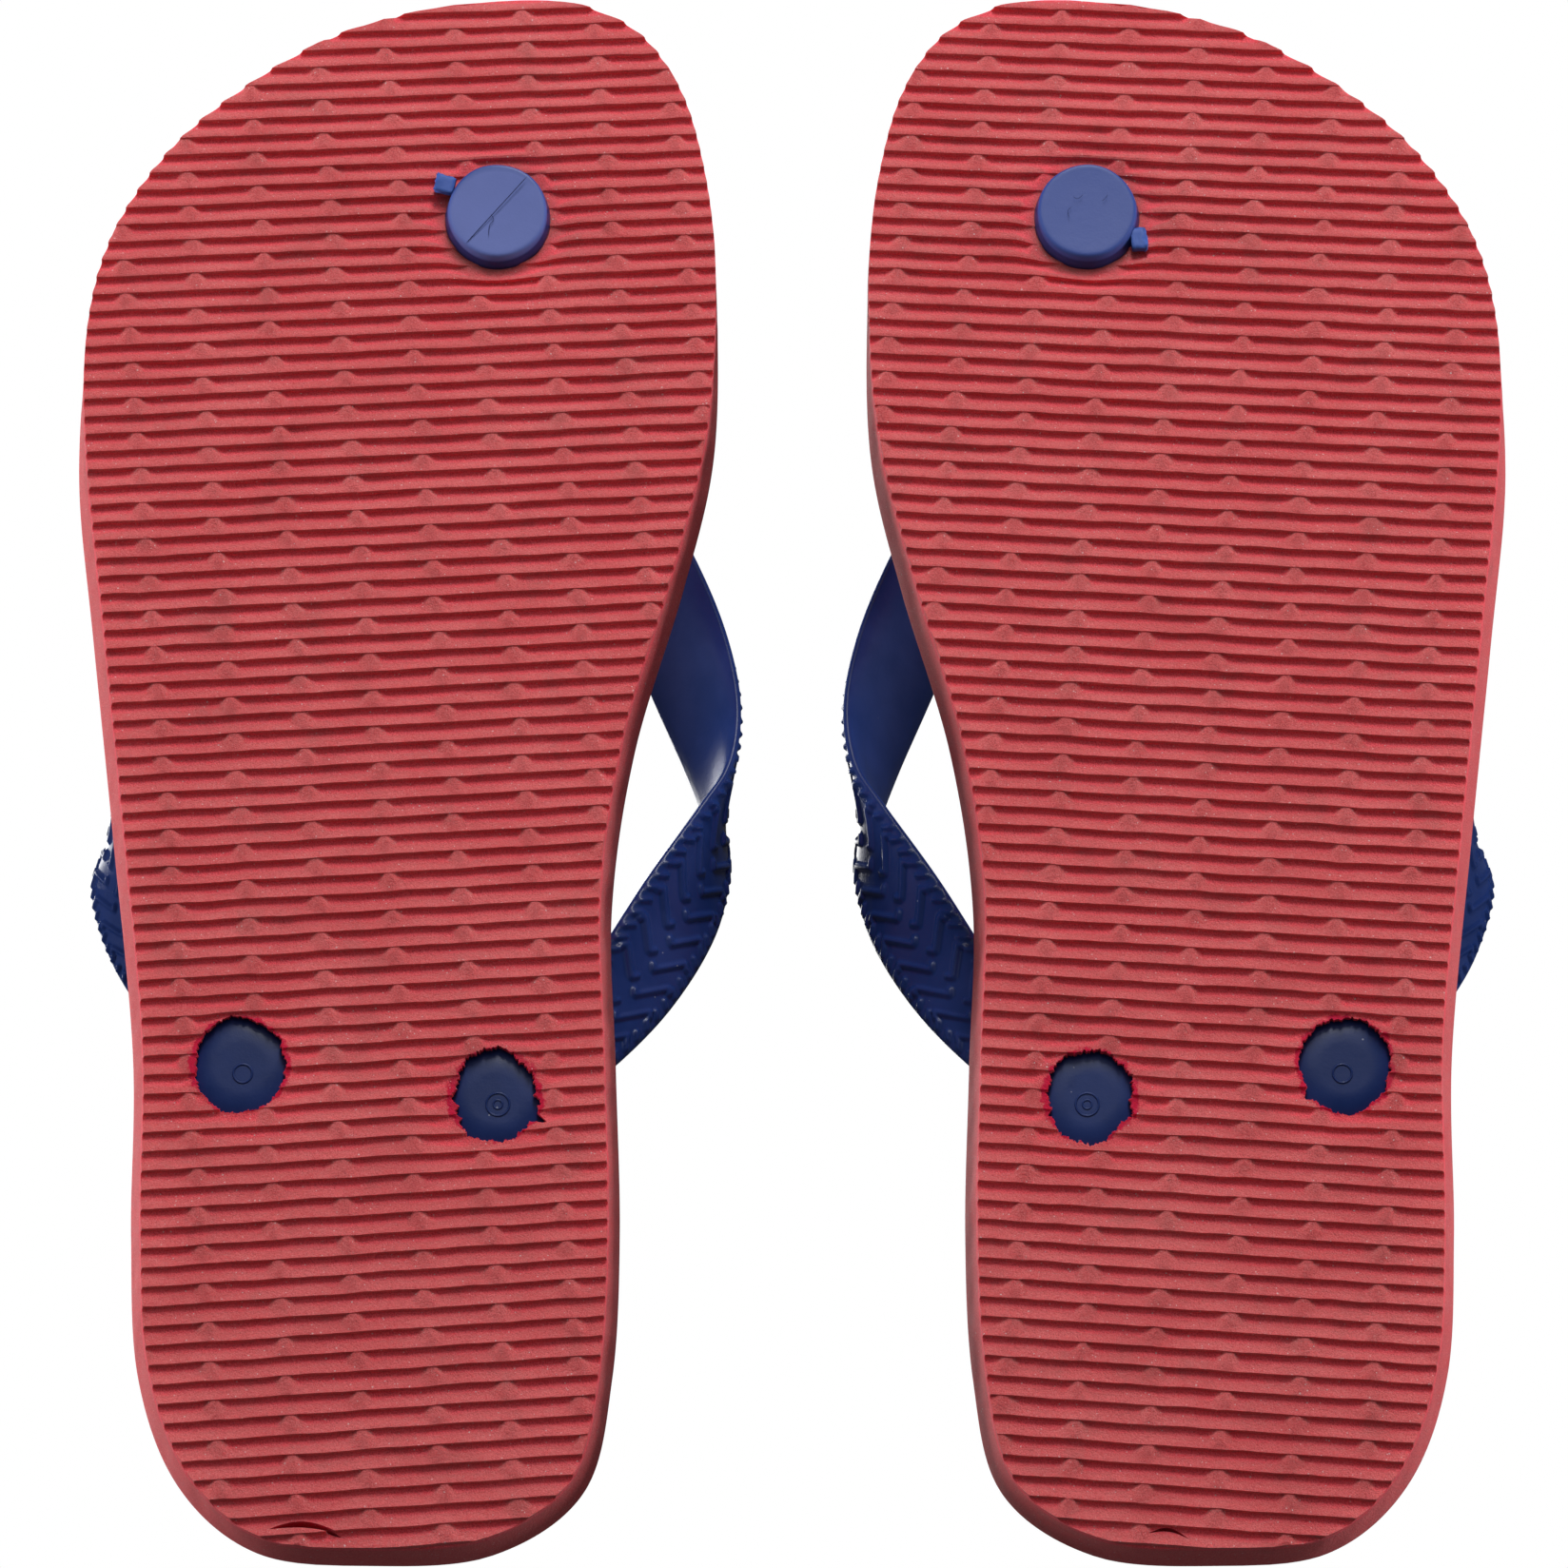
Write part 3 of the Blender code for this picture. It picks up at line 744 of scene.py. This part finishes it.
def disc_details(name, side, seam, ragged):
    """The marks that moulding left on each toe disc."""
    at = np.array([POST[0], POST[1], 0.0])
    if side < 0:
        t = np.linspace(0.0, 1.0, 24)[:, None]
        straight = at + np.array([5.0, -6.6, 0.02]) * (1 - t) + np.array([-5.2, 5.3, 0.02]) * t
        fork_points = ((-1.1, 0.2, 0.02), (-0.6, 1.1, 0.02), (-1.3, 2.2, 0.02), (-1.4, 4.0, 0.02))
        fork = at + catmull_rom(fork_points, 6)
        stub = lump(name + "_tab", at + [-8.9, -5.6, 1.5], (3.0, 2.8, 1.5), 0.25, side, ragged, 5)
        return [
            stub,
            tube(name + "_seam", straight, 0.07, side, seam),
            tube(name + "_fork", fork, 0.05, side, seam),
        ]
    stub = lump(name + "_tab", at + [-8.7, 4.0, 2.0], (2.4, 3.6, 1.6), 0.1, side, ragged, 6)
    marks = []
    scratches = (
        ((0.6, -3.4, 0.02), (1.6, -2.6, 0.02), (2.4, -3.0, 0.02)),
        ((2.6, -1.2, 0.02), (3.3, -0.4, 0.02), (3.0, 0.9, 0.02)),
        ((-3.5, -3.4, 0.02), (-3.0, -2.6, 0.02), (-2.5, -2.2, 0.02)),
    )
    for i, path in enumerate(scratches):
        marks.append(tube(f"{name}_scratch{i}", at + catmull_rom(path, 5), 0.035, side, seam))
    return [stub, *marks]


def strap_mesh(name, side, plastic, seam, ragged, seed):
    inner = INNER_TOE_EDGE, INNER_ANKLE_EDGE
    outer = OUTER_TOE_EDGE, OUTER_ANKLE_EDGE
    pieces = [
        band_mesh(name, *inner, side, plastic, seed),
        band_mesh(name + "_outer", *outer, side, plastic, seed + 1),
        knot_mesh(name + "_root", POST, POST_PROFILE, ((*inner, 1), (*outer, 1)), side, plastic),
        knot_mesh(name + "_inner_neck", INNER_PLUG, NECK_PROFILE, ((*inner, -1),), side, plastic),
        knot_mesh(name + "_outer_neck", OUTER_PLUG, NECK_PROFILE, ((*outer, -1),), side, plastic),
        disc_mesh(name + "_disc", side, plastic, seed),
        *plug_mesh(name + "_plug_in", INNER_PLUG, side, plastic, "rings"),
        *plug_mesh(name + "_plug_out", OUTER_PLUG, side, plastic, "ring"),
        *disc_details(name, side, seam, ragged),
    ]
    return join(name, pieces)


# ---------------------------------------------------------------- materials
class Nodes:
    """Short names for building a node tree."""

    def __init__(self, name):
        self.material = bpy.data.materials.new(name)
        self.material.use_nodes = True
        self.tree = self.material.node_tree
        self.shader = self.tree.nodes["Principled BSDF"]

    def add(self, kind, **settings):
        node = self.tree.nodes.new(kind)
        for key, value in settings.items():
            setattr(node, key, value)
        return node

    def link(self, a, b):
        self.tree.links.new(a, b)

    def position(self):
        return self.add("ShaderNodeTexCoord").outputs["Object"]

    def noise(self, scale, detail=3.0, rough=0.55, distortion=0.0):
        node = self.add("ShaderNodeTexNoise")
        node.inputs["Scale"].default_value = scale
        node.inputs["Detail"].default_value = detail
        node.inputs["Roughness"].default_value = rough
        node.inputs["Distortion"].default_value = distortion
        self.link(self.position(), node.inputs["Vector"])
        return node.outputs["Fac"]

    def cells(self, scale, randomness=1.0):
        """Distance to the nearest of scattered points."""
        node = self.add("ShaderNodeTexVoronoi")
        node.inputs["Scale"].default_value = scale
        node.inputs["Randomness"].default_value = randomness
        self.link(self.position(), node.inputs["Vector"])
        return node.outputs["Distance"]

    def math(self, operation, a, b=None):
        node = self.add("ShaderNodeMath", operation=operation)
        for socket, value in zip(node.inputs, (a, b)):
            if value is None:
                continue
            if isinstance(value, (int, float)):
                socket.default_value = value
            else:
                self.link(value, socket)
        return node.outputs[0]

    def band(self, value, low, high, to_low=0.0, to_high=1.0):
        """Smoothly maps low..high to to_low..to_high, held at both ends."""
        node = self.add("ShaderNodeMapRange", interpolation_type="SMOOTHSTEP")
        node.inputs["From Min"].default_value = low
        node.inputs["From Max"].default_value = high
        node.inputs["To Min"].default_value = to_low
        node.inputs["To Max"].default_value = to_high
        self.link(value, node.inputs["Value"])
        return node.outputs["Result"]

    def mix(self, factor, a, b):
        node = self.add("ShaderNodeMix", data_type="RGBA")
        sockets = (node.inputs[0], node.inputs[6], node.inputs[7])
        for socket, value in zip(sockets, (factor, a, b)):
            if isinstance(value, (int, float)):
                socket.default_value = value
            elif isinstance(value, tuple):
                socket.default_value = (*value, 1.0)
            else:
                self.link(value, socket)
        return node.outputs[2]

    def bump(self, height, strength, distance, after=None):
        node = self.add("ShaderNodeBump")
        node.inputs["Strength"].default_value = strength
        node.inputs["Distance"].default_value = distance
        self.link(height, node.inputs["Height"])
        if after is not None:
            self.link(after, node.inputs["Normal"])
        return node.outputs["Normal"]


FOAM = (0.64, 0.11, 0.114)
FOAM_PALE = (0.7, 0.142, 0.144)
FOAM_DEEP = (0.54, 0.058, 0.07)
# unworn foam with painted bounce light: a brighter red for the grooves and walls
FOAM_UNWORN_AND_BOUNCE = (0.92, 0.1, 0.13)
FOAM_TORN = (0.6, 0.012, 0.055)
FOAM_DARK_BROWN = (0.34, 0.11, 0.1)
FOAM_GRAIN = (0.4, 0.045, 0.055)
FOAM_DUST = (0.75, 0.42, 0.42)
FOAM_SPECK = (0.68, 0.5, 0.5)
PLASTIC = (0.006, 0.022, 0.115)
PLASTIC_PALE = (0.012, 0.032, 0.15)
# a painted highlight round the discs' rims
PLASTIC_RIM_HIGHLIGHT = (0.03, 0.065, 0.28)
# the discs' worn faces: paler from scuffing, and paler still as a painted sheen
PLASTIC_SCUFFED_AND_SHEEN = (0.13, 0.17, 0.45)
PLASTIC_TORN = (0.03, 0.085, 0.36)
PLASTIC_TORN_PALE = (0.09, 0.16, 0.5)
PLASTIC_SPECK = (0.4, 0.42, 0.5)
SEAM = (0.004, 0.008, 0.05)
SEAM_PALE = (0.006, 0.01, 0.06)
LEFT_WEAR_AND_SHEEN = 0.27  # how worn the left disc's face is, with its painted sheen, as a share of the right one's


def distance_to(n, centre):
    """Distance in mm from a shoe's vertical line at `centre`, the same for both shoes."""
    separate = n.add("ShaderNodeSeparateXYZ")
    n.link(n.position(), separate.inputs[0])
    from_middle = n.math("ABSOLUTE", separate.outputs["X"])
    x = n.math("SUBTRACT", from_middle, (AXIS_TO_MIDDLE - centre[0]) / 1000)
    y = n.math("SUBTRACT", separate.outputs["Y"], (centre[1] + MIDDLE_Y) / 1000)
    square = n.math("ADD", n.math("MULTIPLY", x, x), n.math("MULTIPLY", y, y))
    return n.math("MULTIPLY", n.math("SQRT", square), 1000.0)


def above_tread(n):
    """Height in mm over the plane of the tread's crests, which curls up at the toe."""
    y = n.math("MULTIPLY", axis_of(n, n.position(), "Y"), 1000.0)
    forward = n.math("SUBTRACT", LIFT_FROM + MIDDLE_Y, y)
    share = n.math("MAXIMUM", n.math("DIVIDE", forward, LIFT_FROM - POST[1]), 0.0)
    lift = n.math("MULTIPLY", n.math("MULTIPLY", share, share), DISC_PROUD)
    return n.math("SUBTRACT", n.math("MULTIPLY", axis_of(n, n.position(), "Z"), 1000.0), lift)


def axis_of(n, vector, axis):
    separate = n.add("ShaderNodeSeparateXYZ")
    n.link(vector, separate.inputs[0])
    return separate.outputs[axis]


def foam_material(name, torn):
    """Moulded foam rubber: matt, grained, pebbled on the footbed, and a deeper, brighter red off the
    worn crests: unworn foam, with painted bounce light in the grooves and on the walls.
    """
    n = Nodes(name)
    shader = n.shader
    blotch = n.noise(55.0, 4.0, 0.6)
    fine = n.noise(1500.0, 3.0, 0.7)
    grain = n.noise(4600.0, 2.0, 0.65)
    height = axis_of(n, n.position(), "Z")
    colour = n.mix(n.band(blotch, 0.36, 0.66), FOAM, FOAM_PALE)
    colour = n.mix(n.band(fine, 0.48, 0.72, 0.0, 0.35), colour, FOAM_DEEP)
    depth = above_tread(n)
    # off the worn crests: unworn foam, with a brighter red painted in as bounce light in the grooves
    # and on the walls
    unworn_and_bounce = n.math("MULTIPLY", n.band(depth, 0.55, 1.05), n.band(depth, 1.4, 2.6, 1.0, 0.3))
    colour = n.mix(unworn_and_bounce, colour, FOAM_UNWORN_AND_BOUNCE)
    colour = n.mix(n.band(grain, 0.46, 0.7, 0.0, 0.5), colour, FOAM_GRAIN)
    colour = n.mix(n.band(grain, 0.3, 0.46, 0.22, 0.0), colour, FOAM_DUST)
    if torn:
        colour = n.mix(n.band(n.noise(900.0, 3.0), 0.35, 0.7), FOAM_TORN, FOAM_DEEP)
    else:
        rough_edge = n.noise(420.0, 3.0, 0.7)
        for centre, radius in ((INNER_PLUG, HOLES["in"][0]), (OUTER_PLUG, HOLES["out"][0])):
            r = n.math("ADD", distance_to(n, centre), n.math("MULTIPLY", rough_edge, 3.4))
            ring = n.band(r, radius + 1.95, radius + 2.5, 1.0, 0.0)
            low = n.band(height, 0.0028, 0.0034, 1.0, 0.0)
            colour = n.mix(n.math("MULTIPLY", ring, low), colour, FOAM_TORN)
        # a blotchy, darker brown ring round the foot of the toe disc
        r = n.math("ADD", distance_to(n, POST), n.math("MULTIPLY", blotch, 6.0))
        low = n.band(height, 0.004, 0.006, 0.75, 0.0)
        colour = n.mix(n.math("MULTIPLY", n.band(r, 11.0, 15.0, 1.0, 0.0), low), colour, FOAM_DARK_BROWN)
        low = n.band(height, 0.0045, 0.006, 1.0, 0.0)
        dirt = n.band(n.noise(120.0, 4.0, 0.6), 0.52, 0.72, 0.0, 0.25)
        colour = n.mix(n.math("MULTIPLY", dirt, low), colour, FOAM_DARK_BROWN)
    for scale, sparse_from, size in ((520.0, 0.52, 0.1), (900.0, 0.47, 0.13)):
        speck = n.band(n.cells(scale), size * 0.6, size, 1.0, 0.0)
        sparse = n.band(n.noise(scale * 0.45, 2.0), sparse_from, sparse_from + 0.06)
        speck = n.math("MULTIPLY", n.math("MULTIPLY", speck, sparse), 0.8)
        colour = n.mix(speck, colour, FOAM_SPECK)
    n.link(colour, shader.inputs["Base Color"])
    pore = n.band(n.cells(1400.0), 0.1, 0.42)
    normal = n.bump(pore, 0.4, 0.00012)
    normal = n.bump(fine, 0.7, 0.0003, normal)
    normal = n.bump(grain, 0.8, 0.00016, normal)
    normal = n.bump(n.noise(170.0, 5.0, 0.62, distortion=0.6), 0.22, 0.0006, normal)
    upwards = axis_of(n, n.add("ShaderNodeNewGeometry").outputs["Normal"], "Z")
    pebbles = n.band(n.cells(430.0, 0.85), 0.12, 0.55, 1.0, 0.0)
    normal = n.bump(n.math("MULTIPLY", pebbles, n.band(upwards, 0.6, 0.9)), 0.6, 0.0005, normal)
    n.link(normal, shader.inputs["Normal"])
    shader.inputs["Roughness"].default_value = 0.88
    shader.inputs["Specular IOR Level"].default_value = 0.2
    shader.inputs["Sheen Weight"].default_value = 0.03
    shader.inputs["Sheen Roughness"].default_value = 0.5
    shader.inputs["Subsurface Weight"].default_value = 0.45
    shader.inputs["Subsurface Radius"].default_value = (1.0, 0.12, 0.15)
    shader.inputs["Subsurface Scale"].default_value = 0.0009
    return n.material


def plastic_material(name, base, pale, roughness, wear_and_painted_light=False):
    """Moulded soft plastic: satin, cloudy and finely grained. wear_and_painted_light wears the
    discs' faces paler, partly as a painted sheen, and paints a highlight round their rims.
    """
    n = Nodes(name)
    shader = n.shader
    cloud = n.noise(70.0, 4.0, 0.6)
    fine = n.noise(2600.0, 3.0, 0.65)
    colour = n.mix(n.band(cloud, 0.35, 0.7), base, pale)
    if wear_and_painted_light:
        height = axis_of(n, n.position(), "Z")
        across = axis_of(n, n.position(), "X")
        r = distance_to(n, POST)
        face = n.band(height, 0.0009, 0.0014, 1.0, 0.0)
        # a painted highlight: a brighter blue ring round the discs' rims
        rim = n.math("MULTIPLY", n.band(r, 9.2, 9.8, 1.0, 0.0), face)
        colour = n.mix(rim, colour, PLASTIC_RIM_HIGHLIGHT)
        # the discs' faces: paler where scuffed, and paler still as a painted sheen
        worn = n.math("MULTIPLY", n.band(r, 7.6, 8.9, 1.0, 0.0), face)
        worn = n.math("MULTIPLY", worn, n.band(across, -0.03, 0.03, 1.0, LEFT_WEAR_AND_SHEEN))
        patchy_wear_and_sheen = n.math("MULTIPLY", worn, n.band(cloud, 0.25, 0.7, 0.75, 1.0))
        colour = n.mix(patchy_wear_and_sheen, colour, PLASTIC_SCUFFED_AND_SHEEN)
    speck = n.band(n.cells(420.0), 0.045, 0.085, 1.0, 0.0)
    sparse = n.band(n.noise(210.0, 2.0), 0.57, 0.63)
    speck = n.math("MULTIPLY", n.math("MULTIPLY", speck, sparse), 0.6)
    colour = n.mix(speck, colour, PLASTIC_SPECK)
    n.link(colour, shader.inputs["Base Color"])
    matt = n.band(cloud, 0.3, 0.7, roughness - 0.04, roughness + 0.06)
    if wear_and_painted_light:
        matt = n.math("ADD", matt, n.math("MULTIPLY", worn, 0.22))
    n.link(matt, shader.inputs["Roughness"])
    normal = n.bump(fine, 0.3, 0.00006)
    normal = n.bump(n.noise(300.0, 3.0), 0.2, 0.0002, normal)
    n.link(normal, shader.inputs["Normal"])
    shader.inputs["IOR"].default_value = 1.5
    shader.inputs["Specular IOR Level"].default_value = 0.28
    return n.material


def floor_material():
    """Pale and matt from above, and nothing at all from below."""
    n = Nodes("floor")
    n.shader.inputs["Base Color"].default_value = (0.4, 0.4, 0.4, 1.0)
    n.shader.inputs["Roughness"].default_value = 0.9
    n.shader.inputs["Emission Color"].default_value = (1.0, 1.0, 1.0, 1.0)
    n.shader.inputs["Emission Strength"].default_value = 0.5
    clear = n.add("ShaderNodeBsdfTransparent")
    sides = n.add("ShaderNodeNewGeometry")
    choose = n.add("ShaderNodeMixShader")
    n.link(sides.outputs["Backfacing"], choose.inputs[0])
    n.link(n.shader.outputs[0], choose.inputs[1])
    n.link(clear.outputs[0], choose.inputs[2])
    n.link(choose.outputs[0], n.tree.nodes["Material Output"].inputs["Surface"])
    return n.material


# ---------------------------------------------------------------- stage
FLOOR_HALF = 4.0
FLOOR_HEIGHT = -0.0006
SIDE_LIGHT = ((-0.2, -0.07), (0.0, 0.0, 0.01), (0.7, 0.2))  # its y and z, target and size
SIDE_POWER = 11.0
SHEEN_POWER = 1.7
CAMERA_DISTANCE = 1.27
CAMERA_TILT = math.radians(15.0)
CAMERA_AIM = (-0.0014, 0.00685)
CAMERA_LENS = 175.9


def area_light(name, location, target, size, power):
    data = bpy.data.lights.new(name, "AREA")
    data.shape = "RECTANGLE"
    data.size, data.size_y = size
    data.energy = power
    light = bpy.data.objects.new(name, data)
    bpy.context.scene.collection.objects.link(light)
    light.location = location
    light.rotation_euler = (Vector(target) - Vector(location)).to_track_quat("-Z", "Y").to_euler()
    light.visible_camera = False
    return light


def make_stage():
    mesh = bpy.data.meshes.new("floor")
    signs = ((-1, -1), (1, -1), (1, 1), (-1, 1))
    corners = [(x * FLOOR_HALF, y * FLOOR_HALF, FLOOR_HEIGHT) for x, y in signs]
    mesh.from_pydata(corners, [], [(0, 1, 2, 3)])
    mesh.materials.append(floor_material())
    floor = bpy.data.objects.new("floor", mesh)
    bpy.context.scene.collection.objects.link(floor)
    floor.visible_shadow = False
    floor.visible_diffuse = False
    floor.visible_glossy = False
    area_light("key", (0.1, -1.17, -0.98), (0.0, 0.0, 0.0), (0.3, 0.75), 15.9)
    area_light("fill_low", (0.0, -0.5, -1.4), (0.0, 0.0, 0.0), (0.9, 0.5), 2.5)
    place_yz, target, size = SIDE_LIGHT
    for name, x in (("side_right", -1.3), ("side_left", 1.3)):
        # two lights in one place, so that reflections are weaker than the light they throw
        light = area_light(name, (x, *place_yz), target, size, SIDE_POWER)
        light.visible_glossy = False
        sheen = area_light(name + "_sheen", (x, *place_yz), target, size, SHEEN_POWER)
        sheen.visible_diffuse = False
    area_light("top", (-0.5, -0.5, 1.5), (0.0, 0.0, 0.0), (1.0, 1.0), 19.0)
    world = bpy.data.worlds.new("world")
    bpy.context.scene.world = world
    world.use_nodes = True
    tree = world.node_tree
    background = tree.nodes["Background"]
    seen = tree.nodes.new("ShaderNodeLightPath")
    strength = tree.nodes.new("ShaderNodeMapRange")
    strength.inputs["To Min"].default_value = 0.1
    strength.inputs["To Max"].default_value = 1.0
    tree.links.new(seen.outputs["Is Camera Ray"], strength.inputs["Value"])
    tree.links.new(strength.outputs["Result"], background.inputs["Strength"])
    background.inputs["Color"].default_value = (1.0, 1.0, 1.0, 1.0)


def make_camera():
    data = bpy.data.cameras.new("camera")
    data.lens = CAMERA_LENS
    data.sensor_width = 36.0
    data.clip_end = 50.0
    camera = bpy.data.objects.new("camera", data)
    bpy.context.scene.collection.objects.link(camera)
    c, s = math.cos(CAMERA_TILT), math.sin(CAMERA_TILT)
    camera.matrix_world = Matrix((
        (1.0, 0.0, 0.0, CAMERA_AIM[0]),
        (0.0, -c, s, CAMERA_AIM[1] + CAMERA_DISTANCE * s),
        (0.0, -s, -c, -CAMERA_DISTANCE * c),
        (0.0, 0.0, 0.0, 1.0),
    ))
    bpy.context.scene.camera = camera


# ---------------------------------------------------------------- the pair
def make_shoe(name, side, foam, torn, plastic, seam, ragged, seed, tear):
    """One shoe's sole and strap. side is -1 for the right shoe and 1 for the left."""
    both = [foam, torn]
    sole = sole_mesh(f"{name}_sole_looks", side, both, seed)
    cut(sole, [
        hole_cutter(f"{name}_hole_out", OUTER_PLUG, side, seed + 11, "out", both),
        hole_cutter(f"{name}_hole_in", INNER_PLUG, side, seed + 12, "in", both),
        heel_tear_cutter(f"{name}_tear", side, both, *tear),
    ])
    sole.data.shade_smooth()
    sole.data.set_sharp_from_angle(angle=math.radians(40.0))
    strap = strap_mesh(f"{name}_strap_looks", side, plastic, seam, ragged, seed)
    parts = (sole, f"{name}_sole", "sole_rubber"), (strap, f"{name}_strap", "strap_plastic")
    for piece, node, slot in parts:
        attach(piece, f"{name}_shoe")
        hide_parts(node)


def main():
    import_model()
    clear_default_objects()
    bpy.context.scene.view_settings.view_transform = "Standard"
    foam = foam_material("foam_rubber", False)
    torn = foam_material("torn_foam", True)
    plastic = plastic_material("moulded_plastic", PLASTIC, PLASTIC_PALE, 0.34, wear_and_painted_light=True)
    seam = plastic_material("seam", SEAM, SEAM_PALE, 0.5)
    ragged = plastic_material("torn_plastic", PLASTIC_TORN, PLASTIC_TORN_PALE, 0.5)
    looks = foam, torn, plastic, seam, ragged
    make_shoe("right", -1, *looks, 100, RIGHT_TEAR)
    make_shoe("left", 1, *looks, 200, LEFT_TEAR)
    make_stage()
    make_camera()


main()
